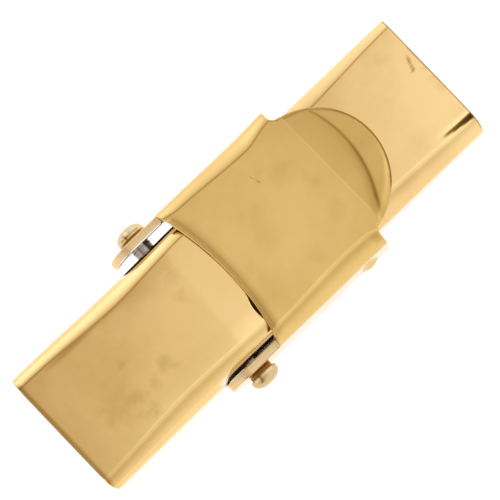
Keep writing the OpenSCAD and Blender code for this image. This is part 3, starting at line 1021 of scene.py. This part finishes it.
def ground_steel(name):
    """Drawn and ground steel wire: fine rings round it, grey, a little darkened by age and oil."""
    material, tree, shader = new_material(name)
    shader.inputs["Metallic"].default_value = 1
    place = add(tree, "ShaderNodeTexCoord").outputs["Object"]
    # Rings about 0.1 mm apart along the pin, drawn coarser than real ones so that they show
    scale = (0.5 / MM, 14 / MM, 0.5 / MM)
    drawn = add(tree, "ShaderNodeMapping", {"Vector": place, "Scale": scale}).outputs[0]
    rings = add(tree, "ShaderNodeTexNoise", {"Vector": drawn, "Scale": 1, "Detail": 3}).outputs["Fac"]
    tint = add(tree, "ShaderNodeValToRGB", {0: rings})
    set_stops(tint, [(0.3, linear("#8A7F74")), (0.7, linear("#C4B8AA"))])
    tree.links.new(tint.outputs[0], shader.inputs["Base Color"])
    rough = add(tree, "ShaderNodeMapRange", {0: rings, 1: 0.3, 2: 0.7, 3: 0.22, 4: 0.36}).outputs[0]
    tree.links.new(rough, shader.inputs["Roughness"])
    bump = add(tree, "ShaderNodeBump", {"Height": rings, "Strength": 0.3, "Distance": 0.005 * MM})
    tree.links.new(bump.outputs[0], shader.inputs["Normal"])
    return material


pin_half = [
    (0, 0),
    (PIN_R * 0.5, 0),
    (PIN_R - PIN_CHAMFER, 0),
    (PIN_R - PIN_CHAMFER / 4, PIN_CHAMFER / 2),
    (PIN_R, PIN_CHAMFER),
]
pin_profile = [
    *((r, y - PIN_HALF_L) for r, y in pin_half),
    *((PIN_R, y) for y in spaced((-PIN_HALF_L + 0.2, PIN_HALF_L - 0.2, 0.4))),
    *((r, PIN_HALF_L - y) for r, y in pin_half[::-1]),
]
hinge_pin = lathe_turned("hinge_pin_shaft", pin_profile, ground_steel("ground steel wire"))
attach(hinge_pin, "lever")
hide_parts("hinge_pin")

# Pin caps: two turned gold-filled heads pressed on the ends of the pin. Each has a short neck
# against the ear, an overhanging rim, and a low dome buffed until its rim is soft.
CAP_R, CAP_NECK_R, CAP_NECK, CAP_RIM = 0.76, 0.62, 0.2, 0.08
CAP_SOFT, CAP_HOLLOW = 0.02, 0.03
CAP_H = corners("pin_cap_far")[1][1] - LEVER_HALF_W
DOME_POWER = 2 / 2.3  # 1 is a round dome, and less a fuller one
cap_gold = polished_gold("turned gold-filled cap", "#E9D0A2", "#B38D52", (-4, 0.3, -3, 0.3))
dome_foot = CAP_NECK + CAP_RIM
cap_profile = [
    (0, 0),
    (CAP_NECK_R, 0),
    (CAP_NECK_R, CAP_NECK - CAP_HOLLOW),
    (CAP_NECK_R + CAP_HOLLOW, CAP_NECK),
    (CAP_R - CAP_SOFT, CAP_NECK),
    (CAP_R, CAP_NECK + CAP_SOFT),
    *(
        (CAP_R * math.cos(a) ** DOME_POWER, dome_foot + (CAP_H - dome_foot) * math.sin(a) ** DOME_POWER)
        for a in np.radians(np.arange(0, 90, 7.5))
    ),
    (0, CAP_H),
]


def neck_shade(x, y, z):
    """Painted shade in the neck below the rim."""
    out = np.abs(y) - LEVER_HALF_W
    return 0.45 * between(-0.06, 0.14, CAP_NECK - CAP_SOFT, CAP_NECK + CAP_SOFT, out)


for name, side in (("pin_cap_near", -1), ("pin_cap_far", 1)):
    placed = [(r, side * (LEVER_HALF_W + y)) for r, y in cap_profile]
    cap = lathe_turned(name + "_head", placed[::side], cap_gold)
    mark_wear_and_light(cap, neck_shade, nowhere)
    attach(cap, "lever")
    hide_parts(name)

# Surface, light and camera: the clasp lies on plain white card in a light tent, seen from
# straight above but for a few degrees, with the long axis running up to the right.
CARD_HALF = 400
CARD_Z = -0.002
card_mesh = bpy.data.meshes.new("white_card")
card_mesh.from_pydata(
    [(x * CARD_HALF * MM, y * CARD_HALF * MM, CARD_Z * MM) for x, y in ((-1, -1), (1, -1), (1, 1), (-1, 1))],
    [],
    [(0, 1, 2, 3)],
)
card = bpy.data.objects.new("white_card", card_mesh)
bpy.context.scene.collection.objects.link(card)
paper, _, shader = new_material("white card")
shader.inputs["Base Color"].default_value = linear("#404040")
shader.inputs["Roughness"].default_value = 1.0
shader.inputs["Specular IOR Level"].default_value = 0.0
shader.inputs["Emission Color"].default_value = linear("#FBFCFF")
shader.inputs["Emission Strength"].default_value = 1.2
card_mesh.materials.append(paper)

PEAK = 2.0  # a ramp holds 0 to 1, so it holds each brightness as a share of this
NORMAL = 0.9  # the brightness at which the tent's light is neutral
GREEN_POWER, BLUE_POWER = 0.25, 0.75
world = bpy.data.worlds.new("light tent")
bpy.context.scene.world = world
world.use_nodes = True
tent = world.node_tree
tent.nodes.clear()
to_sky = add(tent, "ShaderNodeTexCoord").outputs["Generated"]
parts = add(tent, "ShaderNodeSeparateXYZ", {0: to_sky}).outputs


def by_lean(axis, levels):
    """The tent's brightness by how far a direction leans along an axis, as (lean, brightness)."""
    lean = add(tent, "ShaderNodeMapRange", {0: parts[axis], 1: -1, 2: 1, 3: 0, 4: 1}).outputs[0]
    ramp = add(tent, "ShaderNodeValToRGB", {0: lean})
    set_stops(ramp, [((at + 1) / 2, level / PEAK) for at, level in levels])
    return ramp.outputs[0]


by_y = by_lean(
    "Y",
    [
        (-1.0, 1.3),
        (-0.8, 1.15),
        (-0.6, 1.03),
        (-0.4, 1.0),
        (-0.28, 1.2),
        (-0.12, 1.22),
        (-0.06, 1.34),
        (0.015, 1.38),
        (0.035, 1.06),
        (0.16, 1.01),
        (0.21, 0.97),
        (0.25, 0.64),
        (0.32, 0.52),
        (0.4, 0.94),
        (0.55, 1.03),
        (1.0, 1.2),
    ],
)
by_x = by_lean(
    "X",
    [
        (-1.0, 1.0),
        (-0.7, 0.95),
        (-0.6, 0.34),
        (-0.5, 0.36),
        (-0.42, 0.52),
        (-0.3, 0.74),
        (-0.24, 0.77),
        (-0.14, 0.8),
        (-0.08, 0.855),
        (0.0, 0.89),
        (0.08, 0.89),
        (0.12, 0.88),
        (0.2, 0.885),
        (0.27, 0.95),
        (0.6, 1.1),
        (1.0, 1.1),
    ],
)
both = add(tent, "ShaderNodeMath", {0: by_y, 1: by_x}, operation="MULTIPLY").outputs[0]
strength = add(tent, "ShaderNodeMath", {0: both, 1: PEAK * PEAK}, operation="MULTIPLY").outputs[0]
# The dim parts of the tent are warm and the bright ones nearly white, as the photo shows
warmth = add(tent, "ShaderNodeMath", {0: strength, 1: 1 / NORMAL}, operation="MULTIPLY").outputs[0]
green = add(tent, "ShaderNodeMath", {0: warmth, 1: GREEN_POWER}, operation="POWER").outputs[0]
blue = add(tent, "ShaderNodeMath", {0: warmth, 1: BLUE_POWER}, operation="POWER").outputs[0]
tint = add(tent, "ShaderNodeCombineXYZ", {0: 1, 1: green, 2: blue}).outputs[0]
cloth = add(tent, "ShaderNodeBackground", {"Color": tint, "Strength": strength})
# Cool daylight that comes in through the far left of the tent
far = add(tent, "ShaderNodeMapRange", {0: parts["Y"], 1: 0.4, 2: 0.9, 3: 0, 4: 0.9}).outputs[0]
left_side = add(tent, "ShaderNodeMapRange", {0: parts["X"], 1: 0.1, 2: -0.2, 3: 0.1, 4: 1}).outputs[0]
daylight = add(tent, "ShaderNodeMath", {0: far, 1: left_side}, operation="MULTIPLY").outputs[0]
window = add(tent, "ShaderNodeBackground", {"Color": linear("#D2E0FF"), "Strength": daylight})
light = add(tent, "ShaderNodeAddShader", {0: cloth.outputs[0], 1: window.outputs[0]})
add(tent, "ShaderNodeOutputWorld", {"Surface": light.outputs[0]})
bpy.context.scene.view_settings.view_transform = "Standard"

VIEW_DISTANCE = 150.0
VIEW_WIDTH = 23.31
SENSOR = 36
LEAN = math.radians(7)
AXIS_ANGLE = math.radians(44.15)
AIM = (0.2, 0.0, 3.0)
camera = bpy.data.objects.new("camera", bpy.data.cameras.new("camera"))
camera.data.sensor_width = SENSOR
camera.data.lens = SENSOR * VIEW_DISTANCE / VIEW_WIDTH
camera.data.clip_start, camera.data.clip_end = 0.01, 10
along = Vector((1, 0, 0))
up_slope = Vector((0, math.cos(LEAN), math.sin(LEAN)))
back = Vector((0, -math.sin(LEAN), math.cos(LEAN)))
right = along * math.cos(AXIS_ANGLE) - up_slope * math.sin(AXIS_ANGLE)
up = along * math.sin(AXIS_ANGLE) + up_slope * math.cos(AXIS_ANGLE)
turn = Matrix((right, up, back)).transposed().to_4x4()
camera.matrix_world = Matrix.Translation((Vector(AIM) + back * VIEW_DISTANCE) * MM) @ turn
bpy.context.scene.collection.objects.link(camera)
bpy.context.scene.camera = camera
